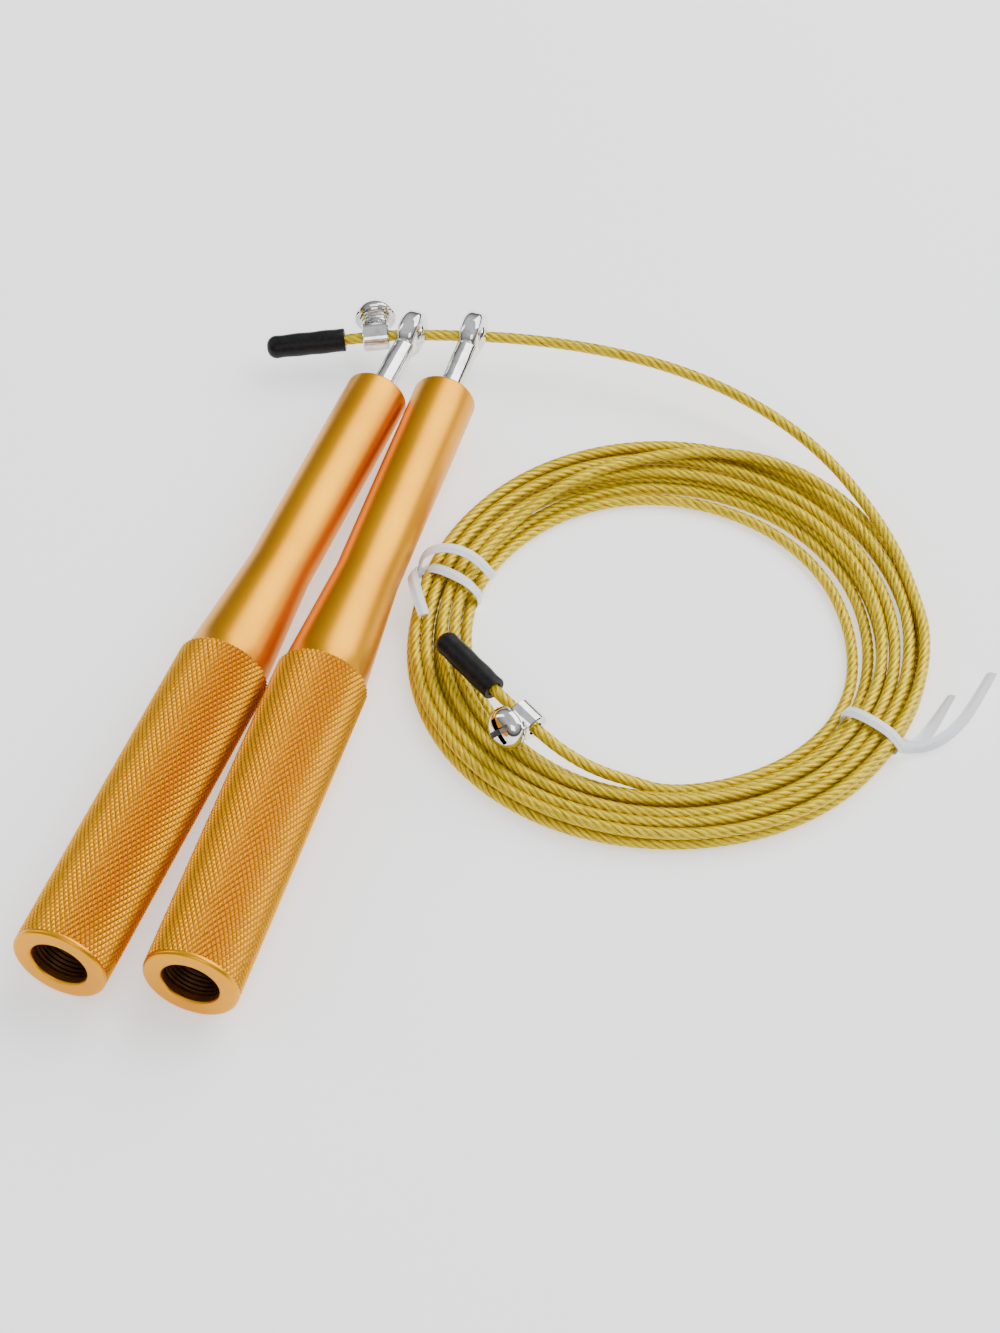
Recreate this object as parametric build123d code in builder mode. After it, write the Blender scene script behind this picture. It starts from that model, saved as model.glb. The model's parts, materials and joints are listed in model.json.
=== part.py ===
"""Speed jump rope, laid down beside its coiled cable. Millimetres, +Z up.

Two hollow turned handles lie side by side on the floor, each on a swivel eye that spins in two
ball bearings. One coated cable runs through the swivel ball of both eyes, is held by a screw
clamp and a rubber cap at each end, and is wound into a round coil held by two ties.
The origin is on the floor under the middle of the two handles, and +Y runs along them.
"""
from build123d import *
from math import cos, pi, radians, sin, tan
import os

os.makedirs("parts", exist_ok=True)

# ---- handles: stations are measured along the axis from the open end ----
GRIP_RADIUS = 10.0
GRIP_END = 79.0              # knurled grip ends, smooth cone starts
CONE_START_RADIUS = 9.1
CONE_END = 108.0             # cone ends, neck starts
NECK_RADIUS = 7.0
BODY_LENGTH = 163.0
END_CHAMFER = 0.35
NECK_EDGE = 0.9
BORE_RADIUS = 6.0
BORE_DEPTH = 60.0            # wide part of the bore
BORE_MOUTH = 0.5
INNER_BORE_RADIUS = 5.7
WEB_BORE_RADIUS = 3.6
HANDLE_GAP = 25.8            # between the two axes at the open ends
HANDLE_TURN = 2.0            # degrees that each handle leans towards the other
HANDLE_A_START = -96.0       # y of handle a's open end
HANDLE_B_START = -91.9

# ---- small ball bearings, 5 x 10 x 4 ----
BEARING_BORE = 2.5
BEARING_RADIUS = 5.0
BEARING_WIDTH = 4.0
BEARING_SEAT = BEARING_RADIUS + 0.01
INNER_RACE_RADIUS = 3.3
OUTER_RACE_BORE = 4.2
BALL_CIRCLE = 3.75
BEARING_BALL_RADIUS = 0.6
GROOVE_RADIUS = 0.65
BEARING_BALLS = 9
SHIELD_THICKNESS = 0.2
SHIELD_RECESS = 0.15
SHIELD_INNER_GAP = 0.12
SHIELD_OUTER_GAP = 0.01
REAR_BEARING = 127.0         # rear face of the rear bearing
FRONT_BEARING = 158.5        # rear face of the front bearing

# ---- eye shaft and what holds it ----
SHAFT_RADIUS = 2.48
ROD_RADIUS = 2.6             # exposed rod between the neck and the ring
SHOULDER_RADIUS = 3.2
SHOULDER_LENGTH = 1.0
EYE_STATION = 183.0          # centre of the ring
RING_RADIUS = 5.25
RING_THICKNESS = 4.6
RING_EDGE = 0.7
RING_BORE = 3.2
BALL_RADIUS = 3.5
BALL_SEAT = BALL_RADIUS + 0.05
BALL_HOLE = 1.9
SPACER_RADIUS = 3.2
SPACER_BORE = 2.53
WASHER_THICKNESS = 0.6
WASHER_RADIUS = 3.4
NUT_ACROSS_FLATS = 8.0
NUT_LENGTH = 5.0
INSERT_LENGTH = 1.4
INSERT_RADIUS = 3.3
THREAD_OVERHANG = 1.0

# ---- cable and its fittings ----
CORD_RADIUS = 1.25
CORD_ARC_SHARE = 0.45        # part of a straight run that an arc at its end may take
CLAMP_RADIUS = 3.15
CLAMP_LENGTH = 5.8
CLAMP_BORE = 1.6
CLAMP_EDGE = 0.25
SCREW_RADIUS = 1.95
SCREW_HOLE = 2.0
SCREW_TIP = 1.3              # distances from the cable's centreline
FLANGE_START = 5.4
FLANGE_END = 6.2
HEAD_TOP = 8.8
FLANGE_RADIUS = 4.6
HEAD_RADIUS = 4.1
HEAD_ROUND = 1.6
RECESS_WIDTH = 0.95
RECESS_LENGTH = 4.8
RECESS_DEPTH = 1.5
CAP_RADIUS = 2.6
CAP_BORE = 1.35
CAP_LENGTH = 17.6
CAP_END_WALL = 1.6
CAP_END_GAP = 0.3            # between the cable's end and the cap's end wall
CAP_TIP_ROUND = 2.1

# ---- coil and its ties ----
COIL_CENTRE = (72.75, 26.65)
COIL_OUTER = 55.6
COIL_INNER = 40.9
COIL_HEIGHT = 6.5
COIL_ROUND = 2.4
TIE_WIDTH = 2.4
TIE_THICKNESS = 0.5

UP = Vector(0, 0, 1)


def heading(degrees):
    """Level direction, in degrees anticlockwise from +X."""
    return Vector(cos(radians(degrees)), sin(radians(degrees)), 0)


def save(builder, name):
    """Label a finished piece and write its file."""
    builder.part.label = name
    export_step(builder.part, f"parts/{name}.step")


class Handle:
    """Where one handle lies: its open end, its axis and the centre of its eye."""

    def __init__(self, x, y, turn):
        self.start = Vector(x, y, GRIP_RADIUS)
        self.along = heading(90 + turn)
        self.across = self.along.cross(UP)
        self.axis = Axis(self.start, self.along)
        self.eye = self.start + self.along * EYE_STATION
        self.section = Plane(origin=self.start, x_dir=self.across, z_dir=UP)

    def face(self, station):
        """Plane across the axis at a station."""
        return Plane(origin=self.start + self.along * station, x_dir=UP, z_dir=self.along)


HANDLES = {
    "a": Handle(-HANDLE_GAP / 2, HANDLE_A_START, -HANDLE_TURN),
    "b": Handle(HANDLE_GAP / 2, HANDLE_B_START, HANDLE_TURN),
}
EYE_LINE = (HANDLES["b"].eye - HANDLES["a"].eye).normalized()


def turned(handle, outline):
    """Solid turned about the handle's axis from (radius, station) points."""
    with BuildPart() as lathe:
        with BuildSketch(handle.section):
            with BuildLine():
                Polyline(*outline, close=True)
            make_face()
        revolve(axis=handle.axis)
    return lathe


def tube_outline(inner, outer, start, end):
    """Profile of a plain ring for turned()."""
    return [(inner, start), (outer, start), (outer, end), (inner, end)]


# ---- handle bodies ----
BODY_OUTLINE = [
    (BORE_RADIUS + BORE_MOUTH, 0),
    (GRIP_RADIUS - END_CHAMFER, 0),
    (GRIP_RADIUS, END_CHAMFER),
    (GRIP_RADIUS, GRIP_END),
    (CONE_START_RADIUS, GRIP_END),
    (NECK_RADIUS, CONE_END),
    (NECK_RADIUS, BODY_LENGTH - NECK_EDGE),
    (NECK_RADIUS - 0.3 * NECK_EDGE, BODY_LENGTH - 0.3 * NECK_EDGE),
    (NECK_RADIUS - NECK_EDGE, BODY_LENGTH),
    (BEARING_SEAT, BODY_LENGTH),
    (BEARING_SEAT, FRONT_BEARING),
    (WEB_BORE_RADIUS, FRONT_BEARING),
    (WEB_BORE_RADIUS, REAR_BEARING + BEARING_WIDTH),
    (BEARING_SEAT, REAR_BEARING + BEARING_WIDTH),
    (BEARING_SEAT, REAR_BEARING),
    (INNER_BORE_RADIUS, REAR_BEARING),
    (INNER_BORE_RADIUS, BORE_DEPTH),
    (BORE_RADIUS, BORE_DEPTH),
    (BORE_RADIUS, BORE_MOUTH),
]
for side, handle in HANDLES.items():
    save(turned(handle, BODY_OUTLINE), f"handle_body_{side}")


# ---- bearings ----
def bearing_race(handle, inner, outer, station):
    """One race: a turned ring with the groove that the balls run in."""
    groove = station + BEARING_WIDTH / 2
    with BuildPart() as race:
        with BuildSketch(handle.section):
            with BuildLine():
                Polyline(*tube_outline(inner, outer, station, station + BEARING_WIDTH), close=True)
            make_face()
            with Locations((BALL_CIRCLE, groove)):
                Circle(GROOVE_RADIUS, mode=Mode.SUBTRACT)
        revolve(axis=handle.axis)
    return race


def bearing_balls(handle, station):
    """The balls of one bearing, evenly spaced on their circle."""
    with BuildPart(handle.face(station + BEARING_WIDTH / 2)) as balls:
        with PolarLocations(BALL_CIRCLE, BEARING_BALLS):
            Sphere(BEARING_BALL_RADIUS)
    return balls


def bearing_shields(handle, station):
    """The two thin shields, one just inside each face of the outer race."""
    near = station + SHIELD_RECESS
    far = station + BEARING_WIDTH - SHIELD_RECESS - SHIELD_THICKNESS
    inner = INNER_RACE_RADIUS + SHIELD_INNER_GAP
    outer = OUTER_RACE_BORE - SHIELD_OUTER_GAP
    with BuildPart() as shields:
        for start in (near, far):
            with BuildSketch(handle.face(start)):
                Circle(outer)
                Circle(inner, mode=Mode.SUBTRACT)
            extrude(amount=SHIELD_THICKNESS)
    return shields


for side, handle in HANDLES.items():
    for place, station in (("front", FRONT_BEARING), ("rear", REAR_BEARING)):
        outer_race = bearing_race(handle, OUTER_RACE_BORE, BEARING_RADIUS, station)
        save(outer_race, f"{place}_outer_race_{side}")
        inner_race = bearing_race(handle, BEARING_BORE, INNER_RACE_RADIUS, station)
        save(inner_race, f"{place}_inner_race_{side}")
        save(bearing_balls(handle, station), f"{place}_bearing_balls_{side}")
        save(bearing_shields(handle, station), f"{place}_shields_{side}")

# ---- eye shafts: ring, rod, shoulder and the journal that runs in the bearings ----
WASHER_START = REAR_BEARING - WASHER_THICKNESS
NUT_START = WASHER_START - NUT_LENGTH
SHAFT_START = NUT_START - THREAD_OVERHANG
SHOULDER_START = FRONT_BEARING + BEARING_WIDTH

for side, handle in HANDLES.items():
    with BuildPart(Plane(origin=handle.eye, x_dir=handle.along, z_dir=handle.across)) as eye_shaft:
        Cylinder(RING_RADIUS, RING_THICKNESS)
        fillet(eye_shaft.edges().filter_by(GeomType.CIRCLE), RING_EDGE)
        with BuildSketch(handle.face(SHAFT_START)):
            Circle(SHAFT_RADIUS)
        extrude(amount=SHOULDER_START - SHAFT_START)
        with BuildSketch(handle.face(SHOULDER_START)):
            Circle(SHOULDER_RADIUS)
        extrude(amount=SHOULDER_LENGTH)
        with BuildSketch(handle.face(SHOULDER_START + SHOULDER_LENGTH)):
            Circle(ROD_RADIUS)
        extrude(amount=EYE_STATION - SHOULDER_START - SHOULDER_LENGTH - RING_BORE)
        Cylinder(RING_BORE, 2 * RING_THICKNESS, mode=Mode.SUBTRACT)
        Sphere(BALL_SEAT, mode=Mode.SUBTRACT)
    save(eye_shaft, f"eye_shaft_{side}")

    with BuildPart(Plane(origin=handle.eye, x_dir=UP, z_dir=EYE_LINE)) as swivel_ball:
        Sphere(BALL_RADIUS)
        Cylinder(BALL_HOLE, 3 * BALL_RADIUS, mode=Mode.SUBTRACT)
    save(swivel_ball, f"swivel_ball_{side}")

    spacer = tube_outline(SPACER_BORE, SPACER_RADIUS, REAR_BEARING + BEARING_WIDTH, FRONT_BEARING)
    save(turned(handle, spacer), f"bearing_spacer_{side}")

    washer = tube_outline(SPACER_BORE, WASHER_RADIUS, WASHER_START, REAR_BEARING)
    save(turned(handle, washer), f"shim_washer_{side}")

    with BuildPart() as lock_nut:
        with BuildSketch(handle.face(NUT_START)):
            RegularPolygon(NUT_ACROSS_FLATS / 2, 6, major_radius=False)
            Circle(SPACER_BORE, mode=Mode.SUBTRACT)
        extrude(amount=NUT_LENGTH)
        with BuildSketch(handle.face(NUT_START)):
            Circle(INSERT_RADIUS)
        extrude(amount=INSERT_LENGTH, mode=Mode.SUBTRACT)
    save(lock_nut, f"lock_nut_{side}")

    insert = tube_outline(SPACER_BORE, INSERT_RADIUS, NUT_START, NUT_START + INSERT_LENGTH)
    save(turned(handle, insert), f"nut_insert_{side}")


# ---- cable ----
def cord_tube(name, route):
    """Round tube along straight runs joined by the largest arcs that the runs allow."""
    points = [Vector(*point) for point in route]
    radii = []
    for before, corner, after in zip(points, points[1:], points[2:]):
        run_in = corner - before
        run_out = after - corner
        half_turn = radians(run_in.get_angle(run_out)) / 2
        radii.append(CORD_ARC_SHARE * min(run_in.length, run_out.length) / tan(half_turn))
    with BuildPart() as tube:
        with BuildLine() as path:
            FilletPolyline(*points, radius=radii)
        length = path.wire().length
        with BuildSketch(Plane(origin=path.wire() @ 0, z_dir=path.wire() % 0)):
            Circle(CORD_RADIUS)
        sweep(path=path.wire())
    section = pi * CORD_RADIUS**2
    print(name, "radii", [round(radius, 1) for radius in radii])
    print(name, "length", round(length, 1), "volume ratio", round(tube.part.volume / section / length, 4))
    return tube


# From the capped end, level through both swivel balls, and down in one bow to the coil's outside.
RUN_ROUTE = [
    (-34.9, 75.6, 7.1),
    (-26.6, 79.0, 7.9),
    (-18.5, 82.3, 8.75),
    (-9.4, 86.0, 9.6),
    (9.4, 91.9, 9.6),
    (21.5, 94.7, 9.5),
    (35.5, 96.8, 9.2),
    (50.5, 97.3, 8.7),
    (65.0, 95.4, 8.0),
    (79.0, 90.8, 7.2),
    (91.5, 83.9, 6.3),
    (102.3, 74.9, 5.4),
    (111.3, 64.2, 4.7),
    (117.0, 55.0, 4.4),
]
# From the coil's inside, up over its edge to the other capped end.
TAIL_ROUTE = [
    (76.0, -15.0, 3.8),
    (69.5, -14.3, 5.0),
    (62.6, -12.6, 6.8),
    (56.3, -9.9, 8.5),
    (49.6, -6.3, 9.4),
    (43.0, -2.3, 9.6),
    (36.5, 1.9, 9.65),
    (31.1, 5.2, 9.6),
]
save(cord_tube("cable_run", RUN_ROUTE), "cable_run")
save(cord_tube("cable_tail", TAIL_ROUTE), "cable_tail")

with BuildPart() as cable_coil:
    with BuildSketch(Plane(origin=(*COIL_CENTRE, 0), x_dir=(1, 0, 0), z_dir=(0, -1, 0))):
        with Locations(((COIL_OUTER + COIL_INNER) / 2, COIL_HEIGHT / 2)):
            RectangleRounded(COIL_OUTER - COIL_INNER, COIL_HEIGHT, COIL_ROUND)
    revolve(axis=Axis((*COIL_CENTRE, 0), (0, 0, 1)))
save(cable_coil, "cable_coil")


# ---- end caps and clamps ----
def end_cap(tip, inward):
    """Rubber cap on a cable end: a blind tube with a domed tip."""
    with BuildPart(Plane(origin=tip, z_dir=inward)) as cap:
        Cylinder(CAP_RADIUS, CAP_LENGTH, align=(Align.CENTER, Align.CENTER, Align.MIN))
        tip_edge = cap.edges().filter_by(GeomType.CIRCLE).sort_by_distance(tip)[0]
        fillet(tip_edge, CAP_TIP_ROUND)
        with Locations((0, 0, CAP_END_WALL)):
            Cylinder(CAP_BORE, CAP_LENGTH, align=(Align.CENTER, Align.CENTER, Align.MIN),
                     mode=Mode.SUBTRACT)
    return cap


def clamp_collar(centre, along, out):
    """Short tube round the cable with a tapped hole for its screw."""
    with BuildPart(Plane(origin=centre, x_dir=out, z_dir=along)) as collar:
        Cylinder(CLAMP_RADIUS, CLAMP_LENGTH)
        chamfer(collar.edges().filter_by(GeomType.CIRCLE), CLAMP_EDGE)
        Cylinder(CLAMP_BORE, 2 * CLAMP_LENGTH, mode=Mode.SUBTRACT)
        with BuildSketch(Plane(origin=centre, x_dir=along, z_dir=out)):
            Circle(SCREW_HOLE)
        extrude(amount=2 * CLAMP_RADIUS, mode=Mode.SUBTRACT)
    return collar


def clamp_screw(centre, along, out):
    """Flanged cross-head screw that bears on the cable."""
    with BuildPart(Plane(origin=centre, x_dir=along, z_dir=out)) as screw:
        with BuildSketch(Plane(origin=centre, x_dir=along, z_dir=out).offset(SCREW_TIP)):
            Circle(SCREW_RADIUS)
        extrude(amount=FLANGE_START - SCREW_TIP)
        with BuildSketch(Plane(origin=centre, x_dir=along, z_dir=out).offset(FLANGE_START)):
            Circle(FLANGE_RADIUS)
        extrude(amount=FLANGE_END - FLANGE_START)
        with BuildSketch(Plane(origin=centre, x_dir=along, z_dir=out).offset(FLANGE_END)):
            Circle(HEAD_RADIUS)
        extrude(amount=HEAD_TOP - FLANGE_END)
        top_edge = screw.edges().filter_by(GeomType.CIRCLE).sort_by_distance(centre + out * HEAD_TOP)[0]
        fillet(top_edge, HEAD_ROUND)
        with BuildSketch(Plane(origin=centre, x_dir=along, z_dir=out).offset(HEAD_TOP)):
            Rectangle(RECESS_LENGTH, RECESS_WIDTH)
            Rectangle(RECESS_WIDTH, RECESS_LENGTH)
        extrude(amount=-RECESS_DEPTH, mode=Mode.SUBTRACT)
    return screw


# The first clamp sits in the middle of the run beside handle a's eye; the second in the middle of
# the run before the tail's cap. The angle is how far its screw is turned round the cable.
# Each cap covers the last two runs of its end of the cable.
CLAMPS = {
    "a": (Vector(*RUN_ROUTE[2]), Vector(*RUN_ROUTE[3]), 0.0),
    "b": (Vector(*TAIL_ROUTE[4]), Vector(*TAIL_ROUTE[3]), 158.0),
}
CAPS = {
    "a": (Vector(*RUN_ROUTE[0]), Vector(*RUN_ROUTE[2])),
    "b": (Vector(*TAIL_ROUTE[7]), Vector(*TAIL_ROUTE[5])),
}
CAP_OVERHANG = CAP_END_WALL + CAP_END_GAP

for end, (far, near, screw_turn) in CLAMPS.items():
    along = (near - far).normalized()
    level = UP.cross(along).normalized()
    upright = along.cross(level)
    out = level * cos(radians(screw_turn)) + upright * sin(radians(screw_turn))
    centre = (far + near) / 2
    save(clamp_collar(centre, along, out), f"clamp_collar_{end}")
    save(clamp_screw(centre, along, out), f"clamp_screw_{end}")
    print("clamp", end, "centre", centre, "along", along, "out", out)

for end, (cable_end, inner_point) in CAPS.items():
    inward = (inner_point - cable_end).normalized()
    tip = cable_end - inward * CAP_OVERHANG
    save(end_cap(tip, inward), f"end_cap_{end}")
    print("cap", end, "tip", tip, "inward", inward)


# ---- ties: a flat band round the coil, a twist at its outside and two loose ends ----
def tie(angle, ends):
    """Band in the upright plane at an angle round the coil, with loose ends from the twist."""
    outward = heading(angle)
    middle = Vector(*COIL_CENTRE, 0) + outward * (COIL_OUTER + COIL_INNER) / 2
    centre = middle + UP * (COIL_HEIGHT + TIE_THICKNESS) / 2
    band_plane = Plane(origin=centre, x_dir=outward, z_dir=outward.cross(UP))
    width = COIL_OUTER - COIL_INNER + 2 * TIE_THICKNESS
    height = COIL_HEIGHT + TIE_THICKNESS
    with BuildPart() as band:
        with BuildSketch(band_plane):
            RectangleRounded(width, height, COIL_ROUND + TIE_THICKNESS)
            RectangleRounded(width - 2 * TIE_THICKNESS, height - 2 * TIE_THICKNESS, COIL_ROUND,
                             mode=Mode.SUBTRACT)
        extrude(amount=TIE_WIDTH / 2, both=True)
        for points, bottom in ends:
            with BuildSketch(Plane.XY.offset(bottom)):
                with BuildLine():
                    Polyline(*points)
                trace(line_width=TIE_WIDTH)
            extrude(amount=TIE_THICKNESS)
    return band


# Loose ends, as plan points and the height of their underside.
UPPER_ENDS = [
    ([(17.6, 27.6), (20.8, 30.6), (26.5, 30.6), (32.5, 29.0)], COIL_HEIGHT),
    ([(17.6, 26.0), (19.3, 19.2), (22.8, 13.4)], COIL_HEIGHT),
]
LOWER_ENDS = [
    ([(127.9, 15.6), (130.3, 20.2), (132.9, 28.9)], 2.0),
    ([(127.9, 15.6), (133.9, 21.2), (139.5, 38.1)], 2.0),
]
save(tie(180.0, UPPER_ENDS), "tie_upper")
save(tie(-11.5, LOWER_ENDS), "tie_lower")
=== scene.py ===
import json
from math import cos, exp, pi, radians, sin, sqrt, tanh

import bmesh
import bpy
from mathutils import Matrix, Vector, noise


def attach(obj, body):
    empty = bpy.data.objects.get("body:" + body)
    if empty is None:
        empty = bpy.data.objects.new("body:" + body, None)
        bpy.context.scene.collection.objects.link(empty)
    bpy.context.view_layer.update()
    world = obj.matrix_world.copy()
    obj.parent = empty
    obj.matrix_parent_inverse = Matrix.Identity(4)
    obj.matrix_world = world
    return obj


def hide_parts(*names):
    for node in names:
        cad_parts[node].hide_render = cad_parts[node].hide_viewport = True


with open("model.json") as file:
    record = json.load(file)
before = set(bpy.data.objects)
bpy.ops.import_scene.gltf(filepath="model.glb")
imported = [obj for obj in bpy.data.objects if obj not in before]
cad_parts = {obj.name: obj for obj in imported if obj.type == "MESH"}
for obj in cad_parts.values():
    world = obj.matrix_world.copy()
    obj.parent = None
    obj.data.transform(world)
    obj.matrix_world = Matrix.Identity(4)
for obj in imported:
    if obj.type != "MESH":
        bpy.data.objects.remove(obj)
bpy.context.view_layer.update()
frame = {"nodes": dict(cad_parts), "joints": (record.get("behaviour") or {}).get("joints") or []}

# A speed jump rope: two hollow knurled handles on swivel eyes, and one coated cable that runs
# through both eyes and is wound into a tied coil. Metres; shapes below are given in millimetres.
MM = 0.001
UP = Vector((0, 0, 1))


# ---------------------------------------------------------------- camera, lights and world
def add_object(name, data):
    thing = bpy.data.objects.new(name, data)
    bpy.context.scene.collection.objects.link(thing)
    return thing


def aim(thing, target):
    thing.rotation_euler = (Vector(target) - thing.location).to_track_quat("-Z", "Y").to_euler()


camera = add_object("camera", bpy.data.cameras.new("camera"))
camera.data.lens = 97.0
camera.location = (0.1970, -0.44025, 0.5871)
aim(camera, (0.04095, 0.0103, 0.0))
bpy.context.scene.camera = camera


def add_area_light(name, place, target, width, height, watts):
    data = bpy.data.lights.new(name, "AREA")
    data.shape = "RECTANGLE"
    data.size = width
    data.size_y = height
    data.energy = watts
    light = add_object(name, data)
    light.location = place
    aim(light, target)


add_area_light("key_softbox", (0.52, 0.72, 0.78), (0.03, 0.0, 0.0), 1.5, 1.1, 21.0)
add_area_light("left_softbox", (-0.95, -0.05, 0.60), (0.0, 0.0, 0.0), 0.30, 0.8, 2.5)
add_area_light("front_fill", (0.30, -0.95, 0.80), (0.04, 0.0, 0.0), 0.7, 0.5, 3.5)


def add_studio_world(horizon, zenith, strength):
    """Surroundings that go from dark at the horizon to pale overhead: (height, colour) each."""
    world = bpy.data.worlds.new("studio")
    bpy.context.scene.world = world
    world.use_nodes = True
    tree = world.node_tree
    split = tree.nodes.new("ShaderNodeSeparateXYZ")
    tree.links.new(tree.nodes.new("ShaderNodeTexCoord").outputs["Generated"], split.inputs[0])
    ramp = tree.nodes.new("ShaderNodeValToRGB")
    tree.links.new(split.outputs["Z"], ramp.inputs[0])
    for element, (height, colour) in zip(ramp.color_ramp.elements, (horizon, zenith)):
        element.position = height
        element.color = (*colour, 1)
    tree.links.new(ramp.outputs[0], tree.nodes["Background"].inputs["Color"])
    tree.nodes["Background"].inputs["Strength"].default_value = strength


add_studio_world((0.12, (0.10, 0.10, 0.105)), (0.72, (0.95, 0.97, 1.0)), 0.8)


# ---------------------------------------------------------------- materials
class Surface:
    """A Principled material that texture nodes are added to."""

    def __init__(self, name, **sockets):
        self.material = bpy.data.materials.new(name)
        self.material.use_nodes = True
        self.tree = self.material.node_tree
        self.shader = self.tree.nodes["Principled BSDF"]
        for socket, value in sockets.items():
            self.shader.inputs[socket.replace("_", " ")].default_value = value

    def node(self, kind, inputs=None, **settings):
        """New node; an input's value is a number or another node's output."""
        made = self.tree.nodes.new(kind)
        for setting, value in settings.items():
            setattr(made, setting, value)
        for socket, value in (inputs or {}).items():
            if isinstance(value, bpy.types.NodeSocket):
                self.tree.links.new(value, made.inputs[socket])
            else:
                made.inputs[socket].default_value = value
        return made

    def feed(self, socket, output):
        self.tree.links.new(output, self.shader.inputs[socket])

    def place(self):
        """Position on the object, in metres."""
        return self.node("ShaderNodeTexCoord").outputs["Object"]

    def unwrapped(self, across, along):
        """UV position in millimetres, scaled across and along."""
        at = self.node("ShaderNodeTexCoord").outputs["UV"]
        return self.node("ShaderNodeMapping", {"Vector": at, "Scale": (across, along, 1)}).outputs[0]

    def speckle(self, at, scale, detail=3.0, rough=0.5):
        inputs = {"Vector": at, "Scale": scale, "Detail": detail, "Roughness": rough}
        return self.node("ShaderNodeTexNoise", inputs).outputs["Fac"]

    def spread(self, factor, low, high):
        """Map 0..1 to low..high."""
        return self.node("ShaderNodeMapRange", {0: factor, 3: low, 4: high}).outputs[0]

    def ramp(self, factor, stops):
        made = self.node("ShaderNodeValToRGB", {0: factor})
        elements = made.color_ramp.elements
        while len(elements) < len(stops):
            elements.new(0.5)
        for element, (position, colour) in zip(elements, stops):
            element.position = position
            element.color = (*colour, 1)
        return made.outputs[0]

    def mix(self, factor, first, second, blend="MIX"):
        made = self.node("ShaderNodeMix", {0: factor}, data_type="RGBA", blend_type=blend)
        for socket, value in ((6, first), (7, second)):
            if isinstance(value, bpy.types.NodeSocket):
                self.tree.links.new(value, made.inputs[socket])
            else:
                made.inputs[socket].default_value = (*value, 1)
        return made.outputs[2]

    def tone(self):
        """The tone of a mesh, 1 on ridges and 0 in grooves, by which the materials paint shade into the
        grooves.
        """
        return self.node("ShaderNodeVertexColor", layer_name="tone").outputs["Color"]

    def bump(self, height, strength, distance):
        inputs = {"Height": height, "Strength": strength, "Distance": distance}
        self.feed("Normal", self.node("ShaderNodeBump", inputs).outputs[0])


def anodised_gold(name, knurled):
    """Orange-gold anodised aluminium, satin turned or knurled."""
    surface = Surface(name, Metallic=1.0, Roughness=0.3)
    cloud = surface.speckle(surface.place(), 55.0)
    colour = surface.ramp(cloud, [(0.3, (0.70, 0.29, 0.001)), (0.7, (0.79, 0.35, 0.001))])
    if knurled:
        # Grooves painted dark as shade; the peaks painted lighter as wear.
        groove_shade_and_wear = surface.ramp(surface.tone(), [
            (0.0, (0.18, 0.045, 0.0)), (0.35, (0.76, 0.32, 0.002)), (1.0, (1.0, 0.58, 0.012))])
        colour = surface.mix(0.8, colour, groove_shade_and_wear)
        grit = surface.speckle(surface.place(), 2600.0)
        surface.feed("Roughness", surface.spread(grit, 0.30, 0.48))
        surface.bump(grit, 0.25, 0.00005)
    else:
        turned_marks = surface.speckle(surface.unwrapped(0.02, 9.0), 1.0, 4.0, 0.7)
        surface.feed("Roughness", surface.spread(turned_marks, 0.30, 0.42))
        surface.bump(turned_marks, 0.10, 0.00002)
    surface.feed("Base Color", colour)
    return surface.material


def shaded_bore(name):
    """Inside of the bore, painted a dull dark brown as shade."""
    surface = Surface(name, Metallic=0.8, Roughness=0.5)
    mottle = surface.speckle(surface.place(), 700.0)
    browns = [(0.3, (0.030, 0.009, 0.001)), (0.7, (0.065, 0.021, 0.002))]
    surface.feed("Base Color", surface.ramp(mottle, browns))
    surface.feed("Roughness", surface.spread(mottle, 0.4, 0.6))
    surface.bump(mottle, 0.15, 0.00004)
    return surface.material


def polished_nickel(name, dark=(0.50, 0.485, 0.47), bright=(0.80, 0.79, 0.78)):
    surface = Surface(name, Metallic=1.0, Roughness=0.06)
    cloud = surface.speckle(surface.place(), 420.0)
    surface.feed("Base Color", surface.ramp(cloud, [(0.25, dark), (0.55, bright)]))
    smudge = surface.speckle(surface.place(), 900.0, 5.0, 0.65)
    surface.feed("Roughness", surface.spread(smudge, 0.035, 0.12))
    surface.bump(surface.speckle(surface.place(), 300.0, 1.0), 0.12, 0.00008)
    return surface.material


def ground_steel(name):
    surface = Surface(name, Metallic=1.0, Roughness=0.3)
    grain = surface.speckle(surface.place(), 1800.0, 5.0, 0.6)
    surface.feed("Base Color", surface.ramp(grain, [(0.3, (0.42, 0.42, 0.43)), (0.7, (0.62, 0.62, 0.63))]))
    surface.feed("Roughness", surface.spread(grain, 0.2, 0.4))
    surface.bump(grain, 0.1, 0.00003)
    return surface.material


def coated_wire(name):
    """Laid wire strands under a clear yellow coat; across the UV runs round the strands."""
    surface = Surface(name, Metallic=0.5, Roughness=0.38, IOR=1.4)
    surface.shader.inputs["Coat Weight"].default_value = 0.04
    surface.shader.inputs["Coat Roughness"].default_value = 0.22
    surface.shader.inputs["Coat Tint"].default_value = (1.0, 0.90, 0.40, 1)
    fibres = surface.speckle(surface.unwrapped(44.0, 0.26), 1.0, 3.0, 0.65)
    wires = surface.ramp(fibres, [
        (0.36, (0.13, 0.065, 0.0)), (0.5, (0.66, 0.45, 0.004)), (0.66, (1.0, 0.80, 0.01))])
    # The valleys between the strands are painted dark as shade and the strand crowns painted light as
    # highlight.
    strand_shade_and_highlight = surface.ramp(surface.tone(), [
        (0.0, (0.06, 0.028, 0.0)), (0.55, (0.42, 0.27, 0.001)), (1.0, (0.98, 0.76, 0.006))])
    fade = surface.spread(surface.speckle(surface.place(), 38.0), 0.5, 0.75)
    surface.feed("Base Color", surface.mix(fade, strand_shade_and_highlight, wires))
    surface.feed("Roughness", surface.spread(fibres, 0.26, 0.42))
    surface.bump(fibres, 0.7, 0.00014)
    return surface.material


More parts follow.
